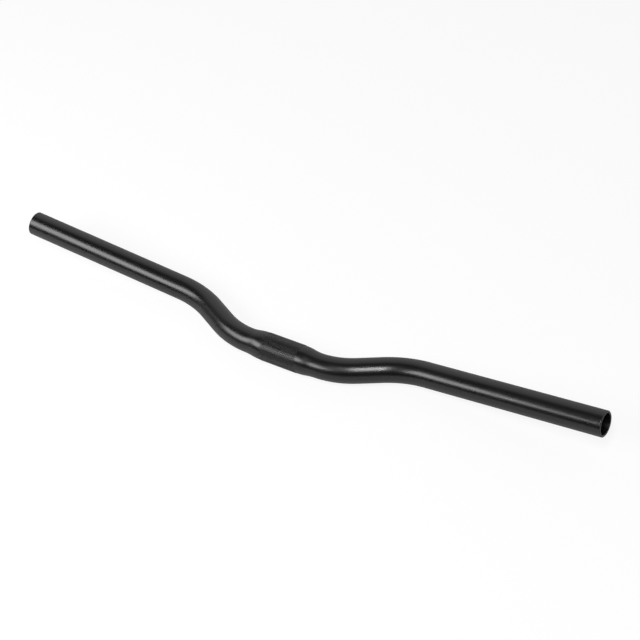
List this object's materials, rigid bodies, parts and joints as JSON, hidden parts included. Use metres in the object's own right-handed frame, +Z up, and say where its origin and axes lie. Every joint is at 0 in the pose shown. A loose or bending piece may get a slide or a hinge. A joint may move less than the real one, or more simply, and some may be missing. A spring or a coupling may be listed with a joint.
{
  "type": "riser handlebar",
  "caption": "Low riser handlebar for a bicycle: a swaged and double-bent hollow tube with a knurled clamp band and open ends.",
  "frame": {"origin": "on the tube's axis at the middle of the knurled clamp band", "axes": "+X along the bar to its right-hand end in the picture, +Y the way the bar rises, +Z up from the surface that it lies on"},
  "size_m": [0.5828, 0.0517, 0.0465],
  "materials": {
    "powder_coat": "satin"
  },
  "bodies": {
    "root": {"handlebar_tube": "powder_coat"}
  },
  "joints": []
}
